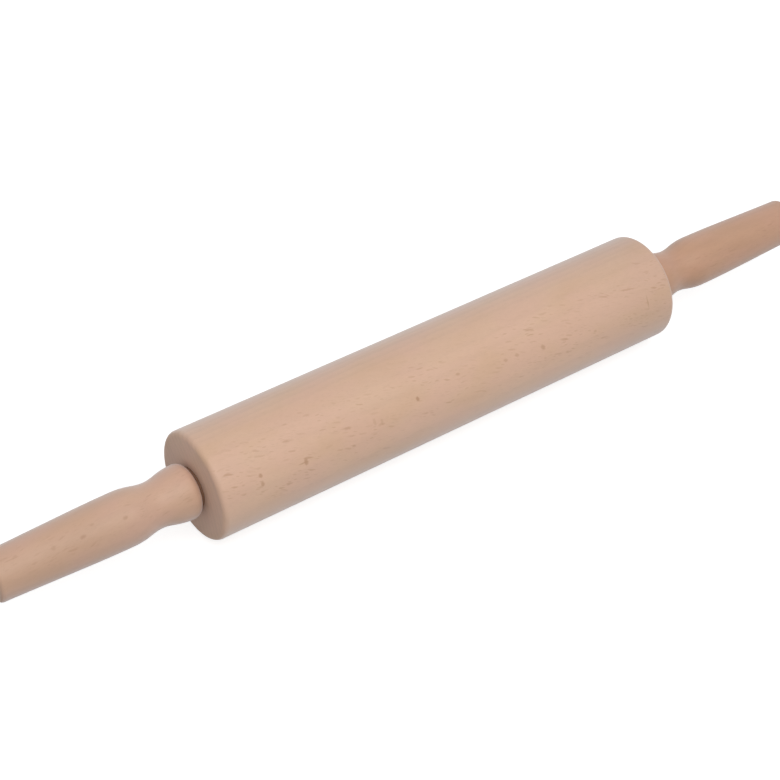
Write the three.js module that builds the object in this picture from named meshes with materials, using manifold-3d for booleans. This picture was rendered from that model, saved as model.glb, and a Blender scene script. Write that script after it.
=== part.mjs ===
// A wooden rolling pin. A turned beech barrel is pressed onto a steel axle rod, and a
// turned beech handle spins by itself on each end of the rod, in two flanged bushes.
// A washer and a lock nut on the rod's stepped end keep the handle on, in a
// counterbore that a wooden plug closes.
// Millimetres. +X runs along the axle and +Z is up. The origin is on the table, under
// the middle of the barrel.

import * as THREE from 'three';
import { mergeVertices } from 'three/addons/utils/BufferGeometryUtils.js';
import Module from 'manifold-3d';

// Barrel
const BARREL_DIAMETER = 50;
const BARREL_LENGTH = 250;
const BARREL_EDGE_RADIUS = 2.5;
const BARREL_BORE_CHAMFER = 0.6;

// Handle, measured along the axle from the face of its collar
const HANDLE_LENGTH = 94;
const COLLAR_EDGE_RADIUS = 4;
const COLLAR_FACE_RIM = 1;
const NECK_FROM_COLLAR_FACE = 18.3;
const NECK_DIAMETER = 20.8;
const SWELL_FROM_NECK = 15.1;
const SWELL_DIAMETER = 24.7;
const END_WALL = 3.2;
const END_EDGE_RADIUS = 2;

// How full the handle's curves stay, as shares of the run between two of its rings
const COLLAR_FULLNESS = 0.48;
const NECK_FULLNESS_TO_COLLAR = 0.31;
const NECK_FULLNESS_TO_SWELL = 0.35;
const SWELL_FULLNESS_TO_NECK = 0.5;
const SWELL_FULLNESS_TO_END = 0.3;
const END_FULLNESS = 0.4;
const END_TAPER_SLOPE = 0.025;

// Axle rod, with a threaded end of smaller diameter beyond a shoulder
const ROD_DIAMETER = 8;
const THREAD_DIAMETER = 6;
const THREAD_PAST_NUT = 1;
const THREAD_CHAMFER = 0.6;

// Flanged bush, the same piece at both ends of a handle
const BUSH_LENGTH = 10;
const BUSH_WALL = 1;
const BUSH_FLANGE_WIDTH = 2.3;
const BUSH_FLANGE_THICKNESS = 1;

// Fibre thrust washer between the barrel and the collar
const THRUST_WASHER_DIAMETER = 19;
const THRUST_WASHER_THICKNESS = 1;

// Washer and lock nut on the threaded end
const END_WASHER_DIAMETER = 12;
const END_WASHER_THICKNESS = 1.6;
const NUT_ACROSS_FLATS = 10;
const NUT_HEX_HEIGHT = 4.2;
const NUT_CHAMFER = 0.5;
const NUT_COLLAR_DIAMETER = 8.6;
const NUT_COLLAR_HEIGHT = 1.8;
const HEX_CORNERS = 6;

// Wooden plug that closes the counterbore
const PLUG_LENGTH = 6;
const PLUG_CHAMFER = 0.8;
const SPACE_UNDER_PLUG = 2;

// Clearances
const RUNNING_CLEARANCE = 0.1;
const PRESS_CLEARANCE = 0.08;
const SEAT_CLEARANCE = 0.1;
const END_FLOAT = 0.1;
const THREAD_CLEARANCE = 0.1;
const WASHER_CLEARANCE = 0.2;
const COUNTERBORE_CLEARANCE = 0.2;

// How far a cutting solid runs past the piece that it cuts
const CUT_OVERRUN = 1;

// Flats around each turned piece, and steps along each kind of curve in an outline
const BARREL_SIDES = 64;
const HANDLE_SIDES = 40;
const HARDWARE_SIDES = 32;
const OUTLINE_STEPS = { LineCurve: 1, EllipseCurve: 4, CubicBezierCurve: 7 };

// Radii that follow from the fits
const barrelRadius = BARREL_DIAMETER / 2;
const rodRadius = ROD_DIAMETER / 2;
const threadRadius = THREAD_DIAMETER / 2;
const rodBoreRadius = rodRadius + PRESS_CLEARANCE;
const bushBoreRadius = rodRadius + RUNNING_CLEARANCE;
const bushRadius = bushBoreRadius + BUSH_WALL;
const bushFlangeRadius = bushRadius + BUSH_FLANGE_WIDTH;
const handleBoreRadius = bushRadius + PRESS_CLEARANCE;
const flangeRecessRadius = bushFlangeRadius + PRESS_CLEARANCE;
const collarFaceRadius = flangeRecessRadius + COLLAR_FACE_RIM;
const collarRadius = collarFaceRadius + COLLAR_EDGE_RADIUS;
const neckRadius = NECK_DIAMETER / 2;
const swellRadius = SWELL_DIAMETER / 2;
const endWasherRadius = END_WASHER_DIAMETER / 2;
const nutCornerRadius = NUT_ACROSS_FLATS / 2 / Math.cos(Math.PI / HEX_CORNERS);
const counterboreRadius =
  Math.max(bushFlangeRadius, endWasherRadius, nutCornerRadius) + COUNTERBORE_CLEARANCE;
const endRadius = counterboreRadius + END_WALL;
const endFaceRadius = endRadius - END_EDGE_RADIUS;
const plugRadius = counterboreRadius - PRESS_CLEARANCE;

// Places along the axle, outward from the barrel's end face
const collarFaceAt = THRUST_WASHER_THICKNESS + 2 * END_FLOAT;
const nutHeight = NUT_HEX_HEIGHT + NUT_COLLAR_HEIGHT;
const counterboreDepth =
  SEAT_CLEARANCE + BUSH_FLANGE_THICKNESS + END_FLOAT + SEAT_CLEARANCE + END_WASHER_THICKNESS +
  SEAT_CLEARANCE + nutHeight + THREAD_PAST_NUT + SPACE_UNDER_PLUG + PLUG_LENGTH;
const handleEndAt = collarFaceAt + HANDLE_LENGTH;
const counterboreFloorAt = handleEndAt - counterboreDepth;
const outerFlangeAt = counterboreFloorAt + SEAT_CLEARANCE;
const rodShoulderAt = outerFlangeAt + BUSH_FLANGE_THICKNESS + END_FLOAT;
const endWasherAt = rodShoulderAt + SEAT_CLEARANCE;
const nutAt = endWasherAt + END_WASHER_THICKNESS + SEAT_CLEARANCE;
const threadEndAt = nutAt + nutHeight + THREAD_PAST_NUT;
const plugAt = handleEndAt - PLUG_LENGTH;

const QUARTER = Math.PI / 2;

const beech = { color: 0xd3b298, roughness: 0.62, metalness: 0 };
const handleBeech = { color: 0xcba88c, roughness: 0.58, metalness: 0 };
const plugBeech = { color: 0xc4a07f, roughness: 0.66, metalness: 0 };
const rodSteel = { color: 0xb4b7bb, roughness: 0.32, metalness: 1 };
const zincSteel = { color: 0xc6c8cb, roughness: 0.38, metalness: 1 };
const nylon = { color: 0xe7e3d7, roughness: 0.5, metalness: 0 };
const fibre = { color: 0x7c5942, roughness: 0.75, metalness: 0 };

const wasm = await Module();
wasm.setup();

// Turns an outline of (along the axle, radius) into a solid along +X. A stated radius
// is true at the middle of each flat, so a piece rests on a flat at its full radius
// and no hole is tighter than stated. One flat faces straight down.
function turn(outline, sides) {
  const toCorner = 1 / Math.cos(Math.PI / sides);
  const start = outline.curves[0].getPoint(0);
  const points = outline.curves.flatMap(
    (curve) => curve.getPoints(OUTLINE_STEPS[curve.type]).slice(1),
  );
  const profile = [start, ...points].map(
    (point) => new THREE.Vector2(point.y * toCorner, point.x),
  );
  return new THREE.LatheGeometry(profile, sides, Math.PI / sides).rotateZ(-QUARTER);
}

// A closed outline through corner points of (along the axle, radius).
function cornered(corners) {
  const outline = new THREE.Path();
  const [first, ...rest] = corners;
  outline.moveTo(...first);
  rest.forEach((corner) => outline.lineTo(...corner));
  return outline.closePath();
}

// An outline that runs from the axle out and back to it.
function fromAxle(corners) {
  const outline = new THREE.Path();
  const [firstAlong] = corners[0];
  const [lastAlong] = corners[corners.length - 1];
  outline.moveTo(firstAlong, 0);
  corners.forEach((corner) => outline.lineTo(...corner));
  return outline.lineTo(lastAlong, 0);
}

function ring(innerRadius, outerRadius, length) {
  return turn(
    cornered([[0, innerRadius], [0, outerRadius], [length, outerRadius], [length, innerRadius]]),
    HARDWARE_SIDES,
  );
}

function barrelGeometry() {
  const end = BARREL_LENGTH / 2;
  const edge = BARREL_EDGE_RADIUS;
  const mouthRadius = rodBoreRadius + BARREL_BORE_CHAMFER;
  const outline = new THREE.Path();
  outline.moveTo(BARREL_BORE_CHAMFER - end, rodBoreRadius);
  outline.lineTo(-end, mouthRadius);
  outline.lineTo(-end, barrelRadius - edge);
  outline.absarc(edge - end, barrelRadius - edge, edge, 2 * QUARTER, QUARTER, true);
  outline.lineTo(end - edge, barrelRadius);
  outline.absarc(end - edge, barrelRadius - edge, edge, QUARTER, 0, true);
  outline.lineTo(end, mouthRadius);
  outline.lineTo(end - BARREL_BORE_CHAMFER, rodBoreRadius);
  return turn(outline.closePath(), BARREL_SIDES);
}

function rodGeometry() {
  const shoulder = BARREL_LENGTH / 2 + rodShoulderAt;
  const tip = BARREL_LENGTH / 2 + threadEndAt;
  const halfRod = [
    [shoulder, rodRadius],
    [shoulder, threadRadius],
    [tip - THREAD_CHAMFER, threadRadius],
    [tip, threadRadius - THREAD_CHAMFER],
  ];
  const otherHalf = halfRod.map(([along, radius]) => [-along, radius]).reverse();
  return turn(fromAxle([...otherHalf, ...halfRod]), HARDWARE_SIDES);
}

// The handle from its collar face outward: rounded collar, neck, swell and taper, with
// one bore right through, a recess for the inner flange and the counterbore.
function handleGeometry() {
  const recessDepth = BUSH_FLANGE_THICKNESS + SEAT_CLEARANCE;
  const neckAt = NECK_FROM_COLLAR_FACE;
  const swellAt = neckAt + SWELL_FROM_NECK;
  const taperEndAt = HANDLE_LENGTH - END_EDGE_RADIUS;
  const floorAt = HANDLE_LENGTH - counterboreDepth;
  const collarRun = neckAt - COLLAR_EDGE_RADIUS;
  const taperRun = taperEndAt - swellAt;
  const endReach = END_FULLNESS * taperRun;

  const outline = new THREE.Path();
  outline.moveTo(recessDepth, handleBoreRadius);
  outline.lineTo(recessDepth, flangeRecessRadius);
  outline.lineTo(0, flangeRecessRadius);
  outline.lineTo(0, collarFaceRadius);
  outline.absarc(
    COLLAR_EDGE_RADIUS, collarFaceRadius, COLLAR_EDGE_RADIUS, 2 * QUARTER, QUARTER, true,
  );
  outline.bezierCurveTo(
    COLLAR_EDGE_RADIUS + COLLAR_FULLNESS * collarRun, collarRadius,
    neckAt - NECK_FULLNESS_TO_COLLAR * collarRun, neckRadius,
    neckAt, neckRadius,
  );
  outline.bezierCurveTo(
    neckAt + NECK_FULLNESS_TO_SWELL * SWELL_FROM_NECK, neckRadius,
    swellAt - SWELL_FULLNESS_TO_NECK * SWELL_FROM_NECK, swellRadius,
    swellAt, swellRadius,
  );
  outline.bezierCurveTo(
    swellAt + SWELL_FULLNESS_TO_END * taperRun, swellRadius,
    taperEndAt - endReach, endRadius + END_TAPER_SLOPE * endReach,
    taperEndAt, endRadius,
  );
  outline.absarc(taperEndAt, endFaceRadius, END_EDGE_RADIUS, QUARTER, 0, true);
  outline.lineTo(HANDLE_LENGTH, counterboreRadius);
  outline.lineTo(floorAt, counterboreRadius);
  outline.lineTo(floorAt, handleBoreRadius);
  return turn(outline.closePath(), HANDLE_SIDES);
}

// The bush with its flange's outer face at 0 and its sleeve running along +X.
function bushGeometry() {
  return turn(
    cornered([
      [0, bushBoreRadius],
      [0, bushFlangeRadius],
      [BUSH_FLANGE_THICKNESS, bushFlangeRadius],
      [BUSH_FLANGE_THICKNESS, bushRadius],
      [BUSH_LENGTH, bushRadius],
      [BUSH_LENGTH, bushBoreRadius],
    ]),
    HARDWARE_SIDES,
  );
}

function plugGeometry() {
  return turn(
    fromAxle([[0, plugRadius - PLUG_CHAMFER], [PLUG_CHAMFER, plugRadius], [PLUG_LENGTH, plugRadius]]),
    HARDWARE_SIDES,
  );
}

function toSolid(geometry) {
  const bare = geometry.clone();
  bare.deleteAttribute('normal');
  bare.deleteAttribute('uv');
  const merged = mergeVertices(bare);
  return new wasm.Manifold(new wasm.Mesh({
    numProp: 3,
    vertProperties: new Float32Array(merged.attributes.position.array),
    triVerts: new Uint32Array(merged.index.array),
  }));
}

function toGeometry(solid) {
  const mesh = solid.getMesh();
  const geometry = new THREE.BufferGeometry();
  geometry.setAttribute('position', new THREE.BufferAttribute(mesh.vertProperties, 3));
  geometry.setIndex(new THREE.BufferAttribute(mesh.triVerts, 1));
  geometry.computeVertexNormals();
  return geometry;
}

// A hexagon nut with chamfered corners and a round locking collar on its outer side.
function nutGeometry() {
  const corners = Array.from({ length: HEX_CORNERS }, (_, index) => {
    const angle = (2 * Math.PI * index) / HEX_CORNERS;
    return new THREE.Vector2(nutCornerRadius * Math.cos(angle), nutCornerRadius * Math.sin(angle));
  });
  const hexagon = new THREE.ExtrudeGeometry(new THREE.Shape(corners), {
    depth: NUT_HEX_HEIGHT,
    bevelEnabled: false,
  }).rotateY(QUARTER);
  const chamferedBlank = turn(
    fromAxle([
      [0, nutCornerRadius - NUT_CHAMFER],
      [NUT_CHAMFER, nutCornerRadius],
      [NUT_HEX_HEIGHT - NUT_CHAMFER, nutCornerRadius],
      [NUT_HEX_HEIGHT, nutCornerRadius - NUT_CHAMFER],
    ]),
    HARDWARE_SIDES,
  );
  const collar = turn(
    fromAxle([[NUT_HEX_HEIGHT / 2, NUT_COLLAR_DIAMETER / 2], [nutHeight, NUT_COLLAR_DIAMETER / 2]]),
    HARDWARE_SIDES,
  );
  const holeRadius = threadRadius + THREAD_CLEARANCE;
  const hole = turn(
    fromAxle([[-CUT_OVERRUN, holeRadius], [nutHeight + CUT_OVERRUN, holeRadius]]),
    HARDWARE_SIDES,
  );
  const nut = toSolid(hexagon)
    .intersect(toSolid(chamferedBlank))
    .add(toSolid(collar))
    .subtract(toSolid(hole));
  return toGeometry(nut);
}

function piece(name, geometry, look, along = 0) {
  const mesh = new THREE.Mesh(geometry, new THREE.MeshStandardMaterial(look));
  mesh.name = name;
  mesh.position.x = along;
  return mesh;
}

// The pieces at one end of the axle, placed outward from the barrel's end face.
function endPieces(side) {
  const pieces = new THREE.Group();
  const outerBush = piece(`${side}_outer_bush`, bushGeometry(), nylon);
  outerBush.position.x = outerFlangeAt + BUSH_FLANGE_THICKNESS;
  outerBush.rotation.z = Math.PI;
  pieces.add(
    piece(
      `${side}_thrust_washer`,
      ring(rodRadius + WASHER_CLEARANCE, THRUST_WASHER_DIAMETER / 2, THRUST_WASHER_THICKNESS),
      fibre,
      END_FLOAT,
    ),
    piece(`${side}_handle`, handleGeometry(), handleBeech, collarFaceAt),
    piece(`${side}_inner_bush`, bushGeometry(), nylon, collarFaceAt),
    outerBush,
    piece(
      `${side}_end_washer`,
      ring(threadRadius + WASHER_CLEARANCE, endWasherRadius, END_WASHER_THICKNESS),
      zincSteel,
      endWasherAt,
    ),
    piece(`${side}_lock_nut`, nutGeometry(), zincSteel, nutAt),
    piece(`${side}_end_plug`, plugGeometry(), plugBeech, plugAt),
  );
  return pieces;
}

const rightEnd = endPieces('right');
rightEnd.position.x = BARREL_LENGTH / 2;

const leftEnd = endPieces('left');
leftEnd.position.x = -BARREL_LENGTH / 2;
leftEnd.rotation.z = Math.PI;

const rollingPin = new THREE.Group();
rollingPin.name = 'rolling_pin';
rollingPin.position.z = barrelRadius;
rollingPin.add(
  piece('barrel', barrelGeometry(), beech),
  piece('axle_rod', rodGeometry(), rodSteel),
  rightEnd,
  leftEnd,
);

export default rollingPin;
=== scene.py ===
"""The look of a beech rolling pin. Barrel, handles and plugs are turned from solid procedural beech, with
hardware of steel, fibre and nylon inside. It lies on a plain pale floor under soft studio light.

Objects are in metres, with +X along the axle, +Z up and the table at z = 0. Sizes are in millimetres."""

import math
from dataclasses import dataclass

import bmesh
import bpy
from mathutils import Matrix, Vector, noise


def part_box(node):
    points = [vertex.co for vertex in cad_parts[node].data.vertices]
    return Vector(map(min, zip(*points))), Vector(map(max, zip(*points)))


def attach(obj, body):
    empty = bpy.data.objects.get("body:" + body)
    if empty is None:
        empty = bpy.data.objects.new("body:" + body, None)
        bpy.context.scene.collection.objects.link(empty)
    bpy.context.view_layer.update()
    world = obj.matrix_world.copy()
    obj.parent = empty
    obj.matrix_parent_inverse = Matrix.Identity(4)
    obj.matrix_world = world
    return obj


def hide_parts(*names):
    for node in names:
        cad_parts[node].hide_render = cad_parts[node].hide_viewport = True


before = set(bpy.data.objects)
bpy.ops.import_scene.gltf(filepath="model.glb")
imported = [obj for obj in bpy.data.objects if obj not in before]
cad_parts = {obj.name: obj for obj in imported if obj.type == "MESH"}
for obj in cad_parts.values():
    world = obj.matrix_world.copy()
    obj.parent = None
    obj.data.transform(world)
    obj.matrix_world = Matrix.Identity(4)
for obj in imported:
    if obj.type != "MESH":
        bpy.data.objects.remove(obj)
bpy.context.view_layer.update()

MM = 0.001
SIDES = ("left", "right")

# Sizes of the wooden pieces, as in the solids
BARREL_EDGE_RADIUS = 2.5
BARREL_BORE_RADIUS = 4.08
BARREL_BORE_CHAMFER = 0.6
COLLAR_EDGE_RADIUS = 4.0
COLLAR_FACE_RADIUS = 8.48
NECK_FROM_COLLAR_FACE = 18.3
NECK_RADIUS = 10.4
SWELL_FROM_NECK = 15.1
SWELL_RADIUS = 12.35
END_RADIUS = 10.8
END_EDGE_RADIUS = 2.0
HANDLE_BORE_RADIUS = 5.18
FLANGE_RECESS_RADIUS = 7.48
FLANGE_RECESS_DEPTH = 1.1
COUNTERBORE_RADIUS = 7.6
COUNTERBORE_DEPTH = 18.0
PLUG_RADIUS = 7.52
PLUG_CHAMFER = 0.8

# How full the handle's curves stay, as shares of the run between two of its rings
COLLAR_FULLNESS = 0.48
NECK_FULLNESS_TO_COLLAR = 0.31
NECK_FULLNESS_TO_SWELL = 0.35
SWELL_FULLNESS_TO_NECK = 0.5
SWELL_FULLNESS_TO_END = 0.3
END_FULLNESS = 0.4
END_TAPER_SLOPE = 0.025

# Sizes of the hardware
ROD_RADIUS = 4.0
ROD_SHOULDER_CHAMFER = 0.3
SHOULDER_FROM_TIP = 8.8
THREAD_RADIUS = 3.0
THREAD_PITCH = 1.0
THREAD_DEPTH = 0.55
THREAD_RUNOUT = 0.9
THREAD_TIP_CHAMFER = 0.6
BUSH_BORE_RADIUS = 4.1
BUSH_RADIUS = 5.1
BUSH_FLANGE_RADIUS = 7.4
BUSH_FLANGE_THICKNESS = 1.0
BUSH_EDGE = 0.3
THRUST_WASHER_BORE_RADIUS = 4.2
THRUST_WASHER_EDGE = 0.12
END_WASHER_BORE_RADIUS = 3.2
END_WASHER_EDGE = 0.35
NUT_FLAT_RADIUS = 5.0
NUT_HEX_HEIGHT = 4.2
NUT_FACE_RADIUS = 4.8
NUT_CHAMFER = 0.5
NUT_BORE_RADIUS = 3.1
NUT_BORE_CHAMFER = 0.35
NUT_COLLAR_RADIUS = 4.3
NUT_COLLAR_EDGE = 0.8
HEX_HALF_ANGLE = math.pi / 6

# Fineness of the meshes
BARREL_SEGMENTS = 192
HANDLE_SEGMENTS = 128
PLUG_SEGMENTS = 96
HARDWARE_SEGMENTS = 72
NUT_SEGMENTS = 120
EDGE_STEPS = 10
SMALL_EDGE_STEPS = 4
CURVE_STEPS = 30
TAPER_STEPS = 60
BARREL_SLICES = 100
THREAD_STEPS_PER_TURN = 10
SHARP_EDGE_ANGLE = math.radians(35)

# A face counts as an end of its piece where its normal has more than this along the axle
END_FACE_TILT = 0.72

# The small unevenness that sanding leaves on turned wood: its depth, and its waves per metre
SANDING_DEPTH = 0.03
SANDING_WAVES = Vector((60, 90, 90))


def half_length_of(node):
    low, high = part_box(node)
    return (high.x - low.x) / 2 / MM


def radius_of(node):
    low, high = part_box(node)
    return (high.z - low.z) / 2 / MM


def middle_height_of(node):
    """Height of a node's middle above the table, in metres."""
    low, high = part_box(node)
    return (low.z + high.z) / 2


AXLE_HEIGHT = middle_height_of("barrel")
BARREL_HALF_LENGTH = half_length_of("barrel")
BARREL_RADIUS = radius_of("barrel")
ROD_HALF_LENGTH = half_length_of("axle_rod")


# Outlines: each is a list of (along, radius) points

def arc(centre, radius, start, end, steps):
    """Points on an arc, with angles in degrees from the axle's direction."""
    points = []
    for step in range(steps + 1):
        angle = math.radians(start + (end - start) * step / steps)
        points.append((centre[0] + radius * math.cos(angle), centre[1] + radius * math.sin(angle)))
    return points


def curve(start, start_pull, end_pull, end, steps):
    """Points on a cubic curve, without its first point."""
    corners = (start, start_pull, end_pull, end)
    points = []
    for step in range(1, steps + 1):
        t = step / steps
        weights = ((1 - t) ** 3, 3 * (1 - t) ** 2 * t, 3 * (1 - t) * t ** 2, t ** 3)
        points.append(tuple(sum(w * c[axis] for w, c in zip(weights, corners)) for axis in (0, 1)))
    return points


def barrel_outline():
    edge = BARREL_EDGE_RADIUS
    mouth = BARREL_BORE_RADIUS + BARREL_BORE_CHAMFER
    run = BARREL_HALF_LENGTH - edge
    left_edge = arc((-run, BARREL_RADIUS - edge), edge, 180, 90, EDGE_STEPS)
    right_edge = arc((run, BARREL_RADIUS - edge), edge, 90, 0, EDGE_STEPS)
    side = [(run * (2 * step / BARREL_SLICES - 1), BARREL_RADIUS) for step in range(1, BARREL_SLICES)]
    return [
        (BARREL_BORE_CHAMFER - BARREL_HALF_LENGTH, BARREL_BORE_RADIUS),
        (-BARREL_HALF_LENGTH, mouth),
        *left_edge,
        *side,
        *right_edge,
        (BARREL_HALF_LENGTH, mouth),
        (BARREL_HALF_LENGTH - BARREL_BORE_CHAMFER, BARREL_BORE_RADIUS),
    ]


def handle_outline(length):
    """The handle with the face of its collar at 0."""
    collar_radius = COLLAR_FACE_RADIUS + COLLAR_EDGE_RADIUS
    neck_at = NECK_FROM_COLLAR_FACE
    swell_at = neck_at + SWELL_FROM_NECK
    taper_end_at = length - END_EDGE_RADIUS
    collar_run = neck_at - COLLAR_EDGE_RADIUS
    taper_run = taper_end_at - swell_at
    end_reach = END_FULLNESS * taper_run
    floor_at = length - COUNTERBORE_DEPTH
    collar = arc((COLLAR_EDGE_RADIUS, COLLAR_FACE_RADIUS), COLLAR_EDGE_RADIUS, 180, 90, EDGE_STEPS)
    to_neck = curve(
        (COLLAR_EDGE_RADIUS, collar_radius),
        (COLLAR_EDGE_RADIUS + COLLAR_FULLNESS * collar_run, collar_radius),
        (neck_at - NECK_FULLNESS_TO_COLLAR * collar_run, NECK_RADIUS),
        (neck_at, NECK_RADIUS),
        CURVE_STEPS,
    )
    to_swell = curve(
        (neck_at, NECK_RADIUS),
        (neck_at + NECK_FULLNESS_TO_SWELL * SWELL_FROM_NECK, NECK_RADIUS),
        (swell_at - SWELL_FULLNESS_TO_NECK * SWELL_FROM_NECK, SWELL_RADIUS),
        (swell_at, SWELL_RADIUS),
        CURVE_STEPS,
    )
    to_end = curve(
        (swell_at, SWELL_RADIUS),
        (swell_at + SWELL_FULLNESS_TO_END * taper_run, SWELL_RADIUS),
        (taper_end_at - end_reach, END_RADIUS + END_TAPER_SLOPE * end_reach),
        (taper_end_at, END_RADIUS),
        TAPER_STEPS,
    )
    end_edge = arc((taper_end_at, END_RADIUS - END_EDGE_RADIUS), END_EDGE_RADIUS, 90, 0, EDGE_STEPS)
    return [
        (FLANGE_RECESS_DEPTH, HANDLE_BORE_RADIUS),
        (FLANGE_RECESS_DEPTH, FLANGE_RECESS_RADIUS),
        (0, FLANGE_RECESS_RADIUS),
        *collar,
        *to_neck,
        *to_swell,
        *to_end,
        *end_edge[1:],
        (length, COUNTERBORE_RADIUS),
        (floor_at, COUNTERBORE_RADIUS),
        (floor_at, HANDLE_BORE_RADIUS),
    ]


def plug_outline(length):
    """A plug with its inner face at 0."""
    return [
        (0, 0),
        (0, PLUG_RADIUS - PLUG_CHAMFER),
        (PLUG_CHAMFER, PLUG_RADIUS),
        (length, PLUG_RADIUS),
        (length, 0),
    ]


def washer_outline(thickness, bore, radius, edge):
    return [
        (0, bore),
        *arc((edge, radius - edge), edge, 180, 90, SMALL_EDGE_STEPS),
        *arc((thickness - edge, radius - edge), edge, 90, 0, SMALL_EDGE_STEPS),
        (thickness, bore),
    ]


def bush_outline(length):
    """A bush with the outer face of its flange at 0."""
    rim = BUSH_FLANGE_RADIUS - BUSH_EDGE
    return [
        (BUSH_EDGE, BUSH_BORE_RADIUS),
        (0, BUSH_BORE_RADIUS + BUSH_EDGE),
        *arc((BUSH_EDGE, rim), BUSH_EDGE, 180, 90, SMALL_EDGE_STEPS),
        *arc((BUSH_FLANGE_THICKNESS - BUSH_EDGE, rim), BUSH_EDGE, 90, 0, SMALL_EDGE_STEPS),
        (BUSH_FLANGE_THICKNESS, BUSH_RADIUS),
        (length - BUSH_EDGE, BUSH_RADIUS),
        (length, BUSH_RADIUS - BUSH_EDGE),
        (length, BUSH_BORE_RADIUS),
    ]


def nut_outline(height):
    """The round blank of a lock nut, chamfered at both ends of its hexagon, then its locking collar."""
    corner = NUT_FLAT_RADIUS / math.cos(HEX_HALF_ANGLE)
    chamfer = []
    for step in range(SMALL_EDGE_STEPS + 1):
        share = step / SMALL_EDGE_STEPS
        chamfer.append((NUT_CHAMFER * share, NUT_FACE_RADIUS + (corner - NUT_FACE_RADIUS) * share))
    far_chamfer = [(NUT_HEX_HEIGHT - along, radius) for along, radius in reversed(chamfer)]
    collar_centre = (height - NUT_COLLAR_EDGE, NUT_COLLAR_RADIUS - NUT_COLLAR_EDGE)
    return [
        (NUT_BORE_CHAMFER, NUT_BORE_RADIUS),
        (0, NUT_BORE_RADIUS + NUT_BORE_CHAMFER),
        *chamfer,
        *far_chamfer,
        (NUT_HEX_HEIGHT, NUT_COLLAR_RADIUS),
        *arc(collar_centre, NUT_COLLAR_EDGE, 90, 0, SMALL_EDGE_STEPS),
        (height, NUT_BORE_RADIUS),
    ]


def rod_outline():
    """The rod from tip to tip, with close rings along both threads."""
    shoulder = ROD_HALF_LENGTH - SHOULDER_FROM_TIP
    thread_end = ROD_HALF_LENGTH - THREAD_TIP_CHAMFER
    run = thread_end - shoulder
    steps = round(run / THREAD_PITCH * THREAD_STEPS_PER_TURN)
    thread = [(shoulder + run * step / steps, THREAD_RADIUS) for step in range(steps + 1)]
    half = [
        (shoulder - ROD_SHOULDER_CHAMFER, ROD_RADIUS),
        (shoulder, ROD_RADIUS - ROD_SHOULDER_CHAMFER),
        *thread,
        (ROD_HALF_LENGTH, THREAD_RADIUS - THREAD_TIP_CHAMFER),
        (ROD_HALF_LENGTH, 0),
    ]
    return [(-along, radius) for along, radius in reversed(half)] + half


# Turned solids

def on_ring(along, radius, angle):
    """The point in metres at a place along the axle and a distance from it."""
    return Vector((
        along * MM,
        radius * MM * math.cos(angle),
        AXLE_HEIGHT + radius * MM * math.sin(angle),
    ))


def around_axle(point):
    """A point's distance from the axle, and its angle about it."""
    across, up = point.y, point.z - AXLE_HEIGHT
    return math.hypot(across, up) / MM, math.atan2(up, across)


def sanded(point):
    """Takes a little off a turned piece, unevenly."""
    radius, angle = around_axle(point)
    taken_off = SANDING_DEPTH * abs(noise.noise(point * SANDING_WAVES))
    return on_ring(point.x / MM, radius - taken_off, angle)


def threaded(point):
    """Cuts a right-hand thread into both ends of the rod, fading out at the shoulder and at the tip."""
    along = point.x / MM
    from_shoulder = abs(along) - (ROD_HALF_LENGTH - SHOULDER_FROM_TIP)
    from_tip = ROD_HALF_LENGTH - THREAD_TIP_CHAMFER - abs(along)
    if from_shoulder <= 0 or from_tip < 0:
        return point
    radius, angle = around_axle(point)
    phase = (along / THREAD_PITCH - angle / (2 * math.pi)) % 1
    fade = min(1, from_shoulder / THREAD_RUNOUT, from_tip / THREAD_RUNOUT)
    groove = 1 - abs(2 * phase - 1)
    return on_ring(along, radius - THREAD_DEPTH * groove * fade, angle)


def hexagonal(point):
    """Cuts six flats into the blank of a nut, with corners straight up and down."""
    radius, angle = around_axle(point)
    from_flat = (angle + HEX_HALF_ANGLE) % (2 * HEX_HALF_ANGLE) - HEX_HALF_ANGLE
    return on_ring(point.x / MM, min(radius, NUT_FLAT_RADIUS / math.cos(from_flat)), angle)


def turned_shape(outline, segments):
    """A closed form turned about the axle. An outline that leaves the axle out closes on itself."""
    shape = bmesh.new()
    rings = []
    for along, radius in outline:
        count = segments if radius else 1
        places = [on_ring(along, radius, 2 * math.pi * index / segments) for index in range(count)]
        rings.append([shape.verts.new(place) for place in places])
    pairs = list(zip(rings, rings[1:]))
    if len(rings[0]) > 1:
        pairs.append((rings[-1], rings[0]))
    for first, second in pairs:
        for index in range(segments):
            following = (index + 1) % segments
            if len(first) == 1:
                corners = (first[0], second[index], second[following])
            elif len(second) == 1:
                corners = (first[index], second[0], first[following])
            else:
                corners = (first[index], second[index], second[following], first[following])
            shape.faces.new(corners)
    bmesh.ops.recalc_face_normals(shape, faces=shape.faces)
    return shape


def lathe(name, outline, segments, materials, shape_point=None):
    """A turned piece. Its ends take the last of its materials. Where shape_point is given, it moves every
    point of the turned form."""
    shape = turned_shape(outline, segments)
    if shape_point:
        for vertex in shape.verts:
            vertex.co = shape_point(vertex.co)
    mesh = bpy.data.meshes.new(name)
    shape.to_mesh(mesh)
    shape.free()
    for material in materials:
        mesh.materials.append(material)
    for polygon in mesh.polygons:
        polygon.use_smooth = True
        if abs(polygon.normal.x) > END_FACE_TILT:
            polygon.material_index = len(materials) - 1
    mesh.set_sharp_from_angle(angle=SHARP_EDGE_ANGLE)
    piece = bpy.data.objects.new(name, mesh)
    bpy.context.scene.collection.objects.link(piece)
    return piece


# Material nodes

# Where a mix node that is set to colours has its two colours and its result
MIX_FIRST = 6
MIX_SECOND = 7
MIX_RESULT = 2


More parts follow.
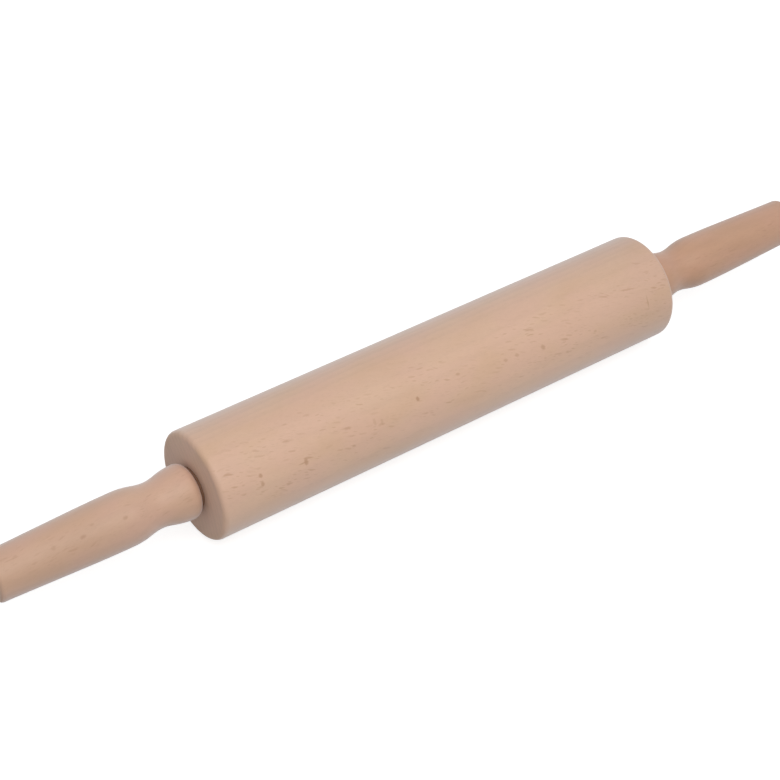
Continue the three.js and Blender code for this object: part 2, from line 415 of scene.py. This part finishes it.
class Graph:
    """Builds the nodes of a material or a world. A socket or a plain value can feed any input."""

    def __init__(self, owner):
        owner.use_nodes = True
        self.tree = owner.node_tree
        self.tree.nodes.clear()

    def node(self, kind, **settings):
        node = self.tree.nodes.new(kind)
        for key, value in settings.items():
            setattr(node, key, value)
        return node

    def feed(self, socket, value):
        if isinstance(value, bpy.types.NodeSocket):
            self.tree.links.new(value, socket)
        else:
            socket.default_value = value

    def math(self, operation, *values):
        node = self.node("ShaderNodeMath", operation=operation)
        for socket, value in zip(node.inputs, values):
            self.feed(socket, value)
        return node.outputs[0]

    def add(self, *values):
        total = values[0]
        for value in values[1:]:
            total = self.math("ADD", total, value)
        return total

    def times(self, *values):
        product = values[0]
        for value in values[1:]:
            product = self.math("MULTIPLY", product, value)
        return product

    def swing(self, value, reach):
        """A value from 0 to 1 as a change to both sides of 0."""
        return self.times(self.add(value, -0.5), reach)

    def length(self, first, second):
        return self.math("SQRT", self.add(self.times(first, first), self.times(second, second)))

    def stretched(self, parts, sizes):
        """A vector of the parts, each counted in its own size."""
        node = self.node("ShaderNodeCombineXYZ")
        for socket, part, size in zip(node.inputs, parts, sizes):
            self.feed(socket, self.times(part, 1 / size))
        return node.outputs[0]

    def separate(self, vector):
        node = self.node("ShaderNodeSeparateXYZ")
        self.feed(node.inputs[0], vector)
        return node.outputs

    def noise(self, vector, detail=2.0, roughness=0.5):
        """Smooth noise with features about 1 unit across, from about 0 to 1."""
        node = self.node("ShaderNodeTexNoise")
        self.feed(node.inputs["Vector"], vector)
        node.inputs["Scale"].default_value = 1.0
        node.inputs["Detail"].default_value = detail
        node.inputs["Roughness"].default_value = roughness
        return node.outputs["Fac"]

    def cells(self, vector):
        """Distance to the nearest of scattered points, and that point's own random value."""
        node = self.node("ShaderNodeTexVoronoi", feature="F1")
        self.feed(node.inputs["Vector"], vector)
        node.inputs["Scale"].default_value = 1.0
        return node.outputs["Distance"], self.separate(node.outputs["Color"])[0]

    def ease(self, value, low, high, to_low=0.0, to_high=1.0):
        """A smooth step, from to_low where the value is low to to_high where it is high."""
        node = self.node("ShaderNodeMapRange", interpolation_type="SMOOTHSTEP")
        for socket, part in zip(node.inputs, (value, low, high, to_low, to_high)):
            self.feed(socket, part)
        return node.outputs[0]

    def mix(self, share, first, second):
        node = self.node("ShaderNodeMix", data_type="RGBA")
        self.feed(node.inputs[0], share)
        self.feed(node.inputs[MIX_FIRST], first)
        self.feed(node.inputs[MIX_SECOND], second)
        return node.outputs[MIX_RESULT]

    def scale(self, vector, factor):
        node = self.node("ShaderNodeVectorMath", operation="SCALE")
        self.feed(node.inputs[0], vector)
        self.feed(node.inputs["Scale"], factor)
        return node.outputs[0]

    def place(self):
        """Along, across and up from the axle's middle, in millimetres of the piece's own space."""
        point = self.scale(self.node("ShaderNodeTexCoord").outputs["Object"], 1 / MM)
        along, across, up = self.separate(point)
        return along, across, self.add(up, -AXLE_HEIGHT / MM)

    def facing(self):
        """The surface's direction along, across and up, in the piece's own space."""
        return self.separate(self.node("ShaderNodeTexCoord").outputs["Normal"])

    def surface(self, colour, roughness, height, bump_mm, **plain):
        """The shader, with the plain values set on its own sockets."""
        shader = self.node("ShaderNodeBsdfPrincipled")
        self.feed(shader.inputs["Base Color"], colour)
        self.feed(shader.inputs["Roughness"], roughness)
        for socket, value in plain.items():
            shader.inputs[socket.replace("_", " ")].default_value = value
        bump = self.node("ShaderNodeBump")
        bump.inputs["Strength"].default_value = 1.0
        bump.inputs["Distance"].default_value = bump_mm * MM
        self.feed(bump.inputs["Height"], height)
        self.feed(shader.inputs["Normal"], bump.outputs[0])
        self.show("ShaderNodeOutputMaterial", shader)

    def show(self, output_kind, shader):
        """Ends the graph with a shader."""
        output = self.node(output_kind)
        self.feed(output.inputs["Surface"], shader.outputs[0])


def opaque(colour):
    """A colour as a shader takes it."""
    return (*colour, 1.0)


def tinted(colour, shares):
    """A colour with each of its parts scaled, as a shader takes it."""
    return opaque(part * share for part, share in zip(colour, shares))


# Beech: sizes of its features, as (along, across, up)
WANDER_SIZE = (110, 28, 28)
SWAY_SIZE = (9, 7, 7)
DRIFT_SIZE = (40, 15, 15)
BLUSH_SIZE = (24, 13, 13)
MOTTLE_SIZE = (3.4, 2.2, 2.2)
MARK_WOBBLE_SIZE = (0.8, 0.8, 0.8)

# Sizes of its features, as (around the heart, along the grain, out from the heart)
FIBRE_SIZE = (0.24, 9, 0.32)
STREAK_SIZE = (2.4, 60, 2.4)
CROWD_SIZE = (7, 26, 30)
PORE_SIZE = (0.3, 2.4, 0.3)

# How finely the uneven features are broken up
SMOOTH = dict(detail=1.0)
CLOUDY = dict(detail=3.0)
DRIFTING = dict(detail=3.0, roughness=0.55)
GRAINY = dict(detail=3.0, roughness=0.6)
FIBROUS = dict(detail=4.0, roughness=0.62)

# Reach of the grain's unevenness
WANDER_REACH = 5.0
SWAY_REACH = 2.4
MARK_WOBBLE_REACH = 0.8

# Growth rings: their spacing and its changes, and where in a ring the late wood starts and is darkest
RING_SPACING = 3.1
RING_CHANGE_SIZE = 4.8
RING_CHANGE = 1.6
LATE_WOOD_START = 0.3
LATE_WOOD_PEAK = 0.9

# How much each feature lightens or darkens the wood
FIBRE_SHADE = -0.075
MOTTLE_SHADE = -0.06
PORE_SHADE = -0.06
END_GRAIN_SHADE = -0.03

# Smooth steps, each as (from, to) or (from, to, value up to there, value from there on)
RING_SHADE_BY_FLATNESS = (0.2, 0.9, -0.05, -0.022)
RAY_SHARE_BY_FLATNESS = (0.8, 0.98, 0.15, 1.0)
CROWD_STEP = (0.4, 0.6, 0.3, 1.0)
DRIFT_STEP = (0.3, 0.7)
BLUSH_STEP = (0.35, 0.65, 0.0, 0.7)
PORE_FORM = (0.42, 0.2)
PORE_CHANCE = (0.3, 0.9)
MARK_FORM = (1.25, 0.4)
END_GRAIN_STEP = (0.35, 0.95)
NO_FADE = (0, 1, 0, 0)

# Rays: the size of the cell that each one lies in, how much of it the ray fills, how rare it is and how dark
RAYS = (
    dict(cell=(0.75, 3.8, 14), fill=0.36, rare=0.2, dark=0.34),
    dict(cell=(1.1, 7.0, 20), fill=0.32, rare=0.3, dark=0.44),
    dict(cell=(1.6, 11.0, 26), fill=0.27, rare=0.45, dark=0.5),
)
RAY_CORE = 0.5
RAY_TINT = (0.66, 0.55, 0.45)
BLUSH_TINT = (1.0, 0.965, 1.01)
BLUSH_OFFSET = 520

# Finish of the wood
WOOD_ROUGHNESS = 0.42
FIBRE_ROUGHNESS = 0.1
END_GRAIN_ROUGHNESS = 0.15
WOOD_BUMP_MM = 0.03
RAY_BUMP = -0.6
RING_BUMP = -0.2
WOOD_IOR = 1.5
WOOD_SPECULAR = 0.4
SIDE_SHEEN = 0.52
END_GRAIN_SHEEN = 0.28
SHEEN_ROUGHNESS = 0.5
SHEEN_TINT = (0.86, 0.93, 1.0, 1.0)


@dataclass
class Wood:
    """What sets one piece of beech apart from another.

    The heart of the tree lies off the axle at heart = (angle in degrees up from the front, distance), on the
    far side, so the grain lies flat on the side that faces that angle. The grain runs around the heart by
    spiral mm per mm along the axle, and shift mm along the axle gives each piece a grain of its own. Each
    mark is (along, angle in degrees, half length, half width, strength), on a surface at mark_radius. The
    tone fades along the axle. Across the axle it changes by painted light, which makes a handle's upper and
    back side lighter as if more light fell there. Both are given as (first place, second place, change at
    the first, change at the second)."""

    pale: tuple
    tan: tuple
    heart: tuple
    spiral: float
    shift: float
    sheen: float = SIDE_SHEEN
    ray_share: float = 1.0
    streak_shade: float = -0.04
    marks: tuple = ()
    mark_radius: float = 1.0
    fade_along: tuple = NO_FADE
    painted_light_across: tuple = NO_FADE


class Log:
    """Where a point of the wood lies in the log that it was cut from. Rings, rays and fibres take their
    places from this, so they run through the whole piece, and its ends show end grain."""

    def __init__(self, graph, wood):
        self.along, self.across, self.up = graph.place()
        run = graph.add(self.along, wood.shift)
        self.point = (run, self.across, self.up)

        # Distance and angle from the heart, a little uneven
        angle, distance = math.radians(wood.heart[0]), wood.heart[1]
        heart_across = graph.add(self.across, -distance * math.cos(angle))
        heart_up = graph.add(self.up, distance * math.sin(angle))
        from_heart = graph.length(heart_across, heart_up)
        wander = graph.noise(graph.stretched(self.point, WANDER_SIZE))
        self.radius = graph.add(from_heart, graph.swing(wander, WANDER_REACH))
        sway = graph.noise(graph.stretched(self.point, SWAY_SIZE), **SMOOTH)
        turn = graph.add(
            graph.times(graph.math("ARCTAN2", heart_up, heart_across), distance),
            graph.times(self.along, wood.spiral),
            graph.swing(sway, SWAY_REACH),
        )
        self.grain = (turn, run, self.radius)

        # Flat grain is 1 where the surface faces the heart or away from it, 0 where the rings stand on edge
        facing_along, facing_across, facing_up = graph.facing()
        outward = graph.add(graph.times(facing_across, heart_across), graph.times(facing_up, heart_up))
        self.flat_grain = graph.math("ABSOLUTE", graph.math("DIVIDE", outward, from_heart))
        self.end_grain = graph.ease(graph.math("ABSOLUTE", facing_along), *END_GRAIN_STEP)


def late_wood(graph, log, shift):
    """From 0 in the pale start of a growth ring to 1 in its darker band, which ends sharply."""
    change = graph.noise(graph.stretched((log.radius, shift, 0.0), (RING_CHANGE_SIZE, 1, 1)), **SMOOTH)
    rings = graph.add(graph.times(log.radius, 1 / RING_SPACING), graph.times(change, RING_CHANGE))
    phase = graph.math("FRACT", rings)
    return graph.times(
        graph.ease(phase, LATE_WOOD_START, LATE_WOOD_PEAK),
        graph.ease(phase, 1.0, LATE_WOOD_PEAK),
    )


def pores(graph, log):
    """Short dark lines along the grain."""
    far, chance = graph.cells(graph.stretched(log.grain, PORE_SIZE))
    return graph.times(graph.ease(far, *PORE_FORM), graph.ease(chance, *PORE_CHANCE))


def ray_dashes(graph, log):
    """Rays: thin upright sheets through the wood, which show as short dashes where the grain lies flat."""
    crowd = graph.ease(graph.noise(graph.stretched(log.grain, CROWD_SIZE)), *CROWD_STEP)
    shown = graph.times(graph.ease(log.flat_grain, *RAY_SHARE_BY_FLATNESS), crowd)
    dashes = []
    for ray in RAYS:
        far, chance = graph.cells(graph.stretched(log.grain, ray["cell"]))
        form = graph.ease(far, ray["fill"], RAY_CORE * ray["fill"])
        dashes.append(graph.times(form, graph.ease(chance, ray["rare"], 1.0), shown))
    return dashes


def ground_colour(graph, log, wood):
    """Broad drifts between pale and tan wood, some of them pinker."""
    drift = graph.ease(graph.noise(graph.stretched(log.point, DRIFT_SIZE), **DRIFTING), *DRIFT_STEP)
    run, across, up = log.point
    blush_place = graph.stretched((run, across, graph.add(up, BLUSH_OFFSET)), BLUSH_SIZE)
    blush = graph.ease(graph.noise(blush_place), *BLUSH_STEP)
    drifting = graph.mix(drift, opaque(wood.pale), opaque(wood.tan))
    return graph.mix(blush, drifting, tinted(wood.pale, BLUSH_TINT))


def marked(graph, log, wood, colour, brown):
    """The colour with the wood's single marks in it."""
    wobble = graph.swing(graph.noise(graph.stretched(log.point, MARK_WOBBLE_SIZE)), MARK_WOBBLE_REACH)
    angle = graph.math("ARCTAN2", log.up, graph.times(log.across, -1.0))
    around = graph.times(angle, wood.mark_radius)
    for mark_along, mark_angle, half_length, half_width, strength in wood.marks:
        mark_around = math.radians(mark_angle) * wood.mark_radius
        ahead = graph.add(log.along, -mark_along, wobble)
        aside = graph.add(around, -mark_around, wobble, graph.times(ahead, -wood.spiral))
        away = graph.length(graph.times(ahead, 1 / half_length), graph.times(aside, 1 / half_width))
        colour = graph.mix(graph.ease(away, *MARK_FORM, 0.0, strength), colour, brown)
    return colour


def beech(name, wood, sheen):
    """Solid beech with its rings, fibres, pores, rays, drifts of colour and single marks."""
    material = bpy.data.materials.new(name)
    graph = Graph(material)
    log = Log(graph, wood)
    late = late_wood(graph, log, wood.shift)
    dashes = ray_dashes(graph, log)
    fibre = graph.noise(graph.stretched(log.grain, FIBRE_SIZE), **FIBROUS)
    streak = graph.noise(graph.stretched(log.grain, STREAK_SIZE))
    mottle = graph.noise(graph.stretched(log.point, MOTTLE_SIZE), **GRAINY)

    shade = graph.add(
        1.0,
        graph.times(late, graph.ease(log.flat_grain, *RING_SHADE_BY_FLATNESS)),
        graph.swing(fibre, FIBRE_SHADE),
        graph.swing(streak, wood.streak_shade),
        graph.swing(mottle, MOTTLE_SHADE),
        graph.times(pores(graph, log), PORE_SHADE),
        graph.times(log.end_grain, END_GRAIN_SHADE),
        graph.ease(log.along, *wood.fade_along),
        # Painted light: a handle's upper and back side made lighter, as if more light fell there
        graph.ease(log.across, *wood.painted_light_across),
    )
    brown = tinted(wood.tan, RAY_TINT)
    colour = graph.scale(ground_colour(graph, log, wood), shade)
    for ray, dash in zip(RAYS, dashes):
        colour = graph.mix(graph.times(dash, ray["dark"] * wood.ray_share), colour, brown)
    colour = marked(graph, log, wood, colour, brown)

    roughness = graph.add(
        WOOD_ROUGHNESS,
        graph.times(fibre, FIBRE_ROUGHNESS),
        graph.times(log.end_grain, END_GRAIN_ROUGHNESS),
    )
    height = graph.add(fibre, graph.times(dashes[-1], RAY_BUMP), graph.times(late, RING_BUMP))
    graph.surface(
        colour, roughness, height, WOOD_BUMP_MM,
        IOR=WOOD_IOR, Specular_IOR_Level=WOOD_SPECULAR,
        Sheen_Weight=sheen, Sheen_Roughness=SHEEN_ROUGHNESS, Sheen_Tint=SHEEN_TINT,
    )
    return material


def beech_pair(name, wood):
    """One wood for the sides of a piece, and for its ends, which have less sheen."""
    return beech(f"{name}_beech", wood, wood.sheen), beech(f"{name}_end_beech", wood, END_GRAIN_SHEEN)


STEEL_CLOUD_SIZE = (7, 3.3, 3.3)
STEEL_DULL = (0.86, 0.86, 0.86)
STEEL_LEAST_SHADE = 0.9
STEEL_LINE_SHADE = 0.1
STEEL_CLOUD_SHADE = 0.1
STEEL_LINE_ROUGHNESS = 0.14
STEEL_CLOUD_ROUGHNESS = 0.08
STEEL_BUMP_MM = 0.01


def turned_steel(name, colour, roughness, groove_mm):
    """Steel with fine turning lines around the axle and slight clouding."""
    material = bpy.data.materials.new(name)
    graph = Graph(material)
    place = graph.place()
    lines = graph.noise(graph.stretched(place, (groove_mm, 1, 1)), **GRAINY)
    cloud = graph.noise(graph.stretched(place, STEEL_CLOUD_SIZE), **CLOUDY)
    shade = graph.add(
        STEEL_LEAST_SHADE,
        graph.times(lines, STEEL_LINE_SHADE),
        graph.times(cloud, STEEL_CLOUD_SHADE),
    )
    tone = graph.scale(graph.mix(cloud, opaque(colour), tinted(colour, STEEL_DULL)), shade)
    finish = graph.add(
        roughness,
        graph.times(lines, STEEL_LINE_ROUGHNESS),
        graph.times(cloud, STEEL_CLOUD_ROUGHNESS),
    )
    graph.surface(tone, finish, lines, STEEL_BUMP_MM, Metallic=1.0)
    return material


MOTTLED_CLOUD_SIZE = (2.5, 2.5, 2.5)
MOTTLED_GRAIN_SIZE = (0.17, 0.17, 0.17)
MOTTLED_DULL = (0.9, 0.9, 0.9)
MOTTLED_GRAIN_ROUGHNESS = 0.16
MOTTLED_BUMP_MM = 0.01
MOTTLED_IOR = 1.53


def mottled(name, colour, roughness):
    """A dull moulded or pressed material, faintly clouded, with a fine texture."""
    material = bpy.data.materials.new(name)
    graph = Graph(material)
    place = graph.place()
    cloud = graph.noise(graph.stretched(place, MOTTLED_CLOUD_SIZE), **CLOUDY)
    grain = graph.noise(graph.stretched(place, MOTTLED_GRAIN_SIZE))
    tone = graph.mix(cloud, opaque(colour), tinted(colour, MOTTLED_DULL))
    finish = graph.add(roughness, graph.times(grain, MOTTLED_GRAIN_ROUGHNESS))
    graph.surface(tone, finish, grain, MOTTLED_BUMP_MM, IOR=MOTTLED_IOR)
    return material


# Single marks that stand out in the wood, in the form that the class Wood gives
BARREL_MARKS = (
    (-105, 27.5, 1.0, 1.1, 0.6),
    (-105, 19, 1.0, 1.2, 0.55),
    (-83, 21, 1.05, 1.7, 0.65),
    (-59, 14.5, 1.0, 0.7, 0.35),
    (-60, 34.5, 2.2, 0.7, 0.45),
    (-46.5, 29, 0.8, 1.7, 0.25),
    (-43, 26, 0.8, 1.7, 0.25),
    (-23, 32, 1.0, 1.1, 0.75),
    (0, 38, 1.2, 0.7, 0.45),
    (25.5, 30.5, 1.3, 0.9, 0.42),
    (32, 30.5, 1.3, 0.9, 0.4),
    (46.5, 26.5, 1.3, 1.5, 0.5),
    (59.5, 9.5, 1.3, 0.7, 0.35),
    (76.5, 18.5, 1.0, 0.7, 0.35),
    (100.5, 45, 5.2, 0.45, 0.4),
    (109, 24, 0.35, 3.3, 0.5),
)
LEFT_HANDLE_MARKS = (
    (-162, 44.5, 1.3, 0.9, 0.4),
    (-176, 59, 1.3, 0.6, 0.25),
    (-181.5, 44.5, 1.5, 0.8, 0.5),
    (-194.5, 48, 1.2, 1.0, 0.3),
    (-204, 36.5, 1.8, 0.5, 0.25),
)

BARREL_WOOD = Wood(
    pale=(0.663, 0.438, 0.306),
    tan=(0.634, 0.408, 0.271),
    heart=(30, 72),
    spiral=-0.19,
    shift=0.0,
    marks=BARREL_MARKS,
    mark_radius=25.0,
    fade_along=(60, 125, 0.0, -0.06),
)
# Each handle's change across the axle is painted light, lightening its upper and back side
HANDLE_WOODS = {
    "left": Wood(
        pale=(0.575, 0.365, 0.255),
        tan=(0.545, 0.34, 0.229),
        heart=(48, 40),
        spiral=0.04,
        shift=310.0,
        sheen=0.58,
        ray_share=0.6,
        marks=LEFT_HANDLE_MARKS,
        mark_radius=12.0,
        fade_along=(-175, -140, -0.01, 0.05),
        painted_light_across=(-8, -1, 0.0, 0.07),
    ),
    "right": Wood(
        pale=(0.54, 0.315, 0.203),
        tan=(0.505, 0.289, 0.18),
        heart=(24, 44),
        spiral=-0.03,
        shift=720.0,
        sheen=0.35,
        ray_share=0.6,
        streak_shade=-0.12,
        painted_light_across=(-6, 0, 0.0, 0.05),
    ),
}
PLUG_SHIFTS = {"left": 1010.0, "right": 1190.0}


def plug_wood(side):
    return Wood(
        pale=(0.52, 0.335, 0.225),
        tan=(0.48, 0.305, 0.2),
        heart=(70, 30),
        spiral=0.0,
        shift=PLUG_SHIFTS[side],
    )


barrel_beech = beech_pair("barrel", BARREL_WOOD)
handle_beech = {side: beech_pair(f"{side}_handle", HANDLE_WOODS[side]) for side in SIDES}
plug_beech = {side: beech_pair(f"{side}_plug", plug_wood(side)) for side in SIDES}
rod_steel = turned_steel("rod_steel", colour=(0.50, 0.51, 0.53), roughness=0.26, groove_mm=0.05)
zinc_steel = turned_steel("zinc_steel", colour=(0.60, 0.62, 0.64), roughness=0.32, groove_mm=0.12)
bush_nylon = mottled("bush_nylon", colour=(0.80, 0.77, 0.68), roughness=0.38)
washer_fibre = mottled("washer_fibre", colour=(0.2, 0.1, 0.055), roughness=0.7)


# Pieces

def dress(piece, node, body):
    """Puts a piece in the place of a node."""
    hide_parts(node)
    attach(piece, body)


def laid_along(node, outline_of, flipped=False):
    """The outline for a node's length, laid from the node's end nearer the barrel to its other end, or the
    other way round if it is flipped."""
    low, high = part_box(node)
    start, end = sorted((low.x / MM, high.x / MM), key=abs, reverse=flipped)
    direction = math.copysign(1, end - start)
    return [(start + direction * along, radius) for along, radius in outline_of(abs(end - start))]


def make_barrel():
    barrel = lathe("barrel_turned", barrel_outline(), BARREL_SEGMENTS, barrel_beech, sanded)
    dress(barrel, "barrel", "barrel")


def make_rod():
    rod = lathe("axle_rod_threaded", rod_outline(), HARDWARE_SEGMENTS, (rod_steel,), threaded)
    dress(rod, "axle_rod", "barrel")


def make_handle(side):
    node = f"{side}_handle"
    outline = laid_along(node, handle_outline)
    handle = lathe(f"{side}_handle_turned", outline, HANDLE_SEGMENTS, handle_beech[side], sanded)
    dress(handle, node, f"{side}_handle")


def make_plug(side):
    node = f"{side}_end_plug"
    plug = lathe(f"{side}_plug_turned", laid_along(node, plug_outline), PLUG_SEGMENTS, plug_beech[side])
    dress(plug, node, f"{side}_handle")


def make_washer(node, bore, edge, material):
    outline = laid_along(node, lambda thickness: washer_outline(thickness, bore, radius_of(node), edge))
    washer = lathe(f"{node}_punched", outline, HARDWARE_SEGMENTS, (material,))
    dress(washer, node, "barrel")


def make_nut(node):
    nut = lathe(f"{node}_hexagonal", laid_along(node, nut_outline), NUT_SEGMENTS, (zinc_steel,), hexagonal)
    dress(nut, node, "barrel")


def make_bush(node, body, flipped):
    outline = laid_along(node, bush_outline, flipped)
    bush = lathe(f"{node}_moulded", outline, HARDWARE_SEGMENTS, (bush_nylon,))
    dress(bush, node, body)


make_barrel()
make_rod()
for side in SIDES:
    make_handle(side)
    make_plug(side)
    make_washer(
        f"{side}_thrust_washer", THRUST_WASHER_BORE_RADIUS, THRUST_WASHER_EDGE, washer_fibre,
    )
    make_washer(f"{side}_end_washer", END_WASHER_BORE_RADIUS, END_WASHER_EDGE, zinc_steel)
    make_nut(f"{side}_lock_nut")

    # Each bush has its flange at the end of the bore that it goes in from
    make_bush(f"{side}_inner_bush", f"{side}_handle", flipped=False)
    make_bush(f"{side}_outer_bush", f"{side}_handle", flipped=True)


# Floor and light

FLOOR_HALF_WIDTH = 6.0
FLOOR_COLOUR = (0.46, 0.46, 0.46, 1.0)
FLOOR_GLOW = 0.78
WHITE = (1.0, 1.0, 1.0, 1.0)
SKY_COLOUR = (0.98, 0.995, 1.025, 1.0)
SKY_STRENGTH = 0.50
KEY_DIRECTION = Vector((-0.06, -0.56, 0.78)).normalized()
KEY_DISTANCE = 1.6
KEY_WIDTH = 1.3
KEY_COLOUR = (1.015, 1.0, 0.975)

# How bright the key light alone makes a white surface that faces it
KEY_LEVEL = 0.57


def direct_view(graph):
    """1 where a camera, glossy or transmission ray arrives, and 0 for the light that falls on the object."""
    light_path = graph.node("ShaderNodeLightPath").outputs
    seen = graph.math("MAXIMUM", light_path["Is Camera Ray"], light_path["Is Glossy Ray"])
    return graph.math("MAXIMUM", seen, light_path["Is Transmission Ray"])


def floor_material():
    """A pale matt floor that looks white and still keeps a soft shadow."""
    material = bpy.data.materials.new("studio_floor")
    graph = Graph(material)
    matt = graph.node("ShaderNodeBsdfDiffuse")
    matt.inputs["Color"].default_value = FLOOR_COLOUR
    glow = graph.node("ShaderNodeEmission")
    graph.feed(glow.inputs["Strength"], graph.times(direct_view(graph), FLOOR_GLOW))
    both = graph.node("ShaderNodeAddShader")
    graph.feed(both.inputs[0], matt.outputs[0])
    graph.feed(both.inputs[1], glow.outputs[0])
    graph.show("ShaderNodeOutputMaterial", both)
    return material


def make_floor():
    half = FLOOR_HALF_WIDTH
    corners = [(-half, -half, 0), (half, -half, 0), (half, half, 0), (-half, half, 0)]
    mesh = bpy.data.meshes.new("floor")
    mesh.from_pydata(corners, [], [(0, 1, 2, 3)])
    mesh.materials.append(floor_material())
    floor = bpy.data.objects.new("floor", mesh)
    bpy.context.scene.collection.objects.link(floor)


def make_sky():
    world = bpy.data.worlds.new("studio")
    bpy.context.scene.world = world
    graph = Graph(world)
    seen = direct_view(graph)
    background = graph.node("ShaderNodeBackground")
    graph.feed(background.inputs["Color"], graph.mix(seen, SKY_COLOUR, WHITE))
    graph.feed(background.inputs["Strength"], graph.add(graph.times(seen, 1 - SKY_STRENGTH), SKY_STRENGTH))
    graph.show("ShaderNodeOutputWorld", background)


def make_key_light():
    light = bpy.data.lights.new("key", "AREA")
    light.shape = "SQUARE"
    light.size = KEY_WIDTH
    light.energy = KEY_LEVEL * math.pi ** 2 * KEY_DISTANCE ** 2
    light.color = KEY_COLOUR
    lamp = bpy.data.objects.new("key", light)
    lamp.location = KEY_DIRECTION * KEY_DISTANCE
    lamp.rotation_euler = KEY_DIRECTION.to_track_quat("Z", "Y").to_euler()
    bpy.context.scene.collection.objects.link(lamp)


# Camera: its angles in degrees, then its place from the middle of the barrel in metres

CAMERA_AZIMUTH = -36.157
CAMERA_ELEVATION = 38.105
CAMERA_DISTANCE = 0.909
CAMERA_RIGHT = -0.01807
CAMERA_UP = -0.00465
FOCAL_LENGTH_PIXELS = 2024
PICTURE_PIXELS = 780
SENSOR_MM = 36


def make_camera():
    azimuth, elevation = math.radians(CAMERA_AZIMUTH), math.radians(CAMERA_ELEVATION)
    back = Vector((
        math.sin(azimuth) * math.cos(elevation),
        -math.cos(azimuth) * math.cos(elevation),
        math.sin(elevation),
    ))
    right = Vector((math.cos(azimuth), math.sin(azimuth), 0))
    up = back.cross(right)
    barrel_middle = Vector((0, 0, AXLE_HEIGHT))
    place = barrel_middle + CAMERA_RIGHT * right + CAMERA_UP * up + CAMERA_DISTANCE * back
    camera = bpy.data.objects.new("camera", bpy.data.cameras.new("camera"))
    camera.data.sensor_width = SENSOR_MM
    camera.data.lens = FOCAL_LENGTH_PIXELS / PICTURE_PIXELS * SENSOR_MM
    camera.matrix_world = Matrix.Translation(place) @ Matrix((right, up, back)).transposed().to_4x4()
    bpy.context.scene.collection.objects.link(camera)
    bpy.context.scene.camera = camera


make_floor()
make_sky()
make_key_light()
make_camera()
bpy.context.scene.view_settings.view_transform = "Standard"
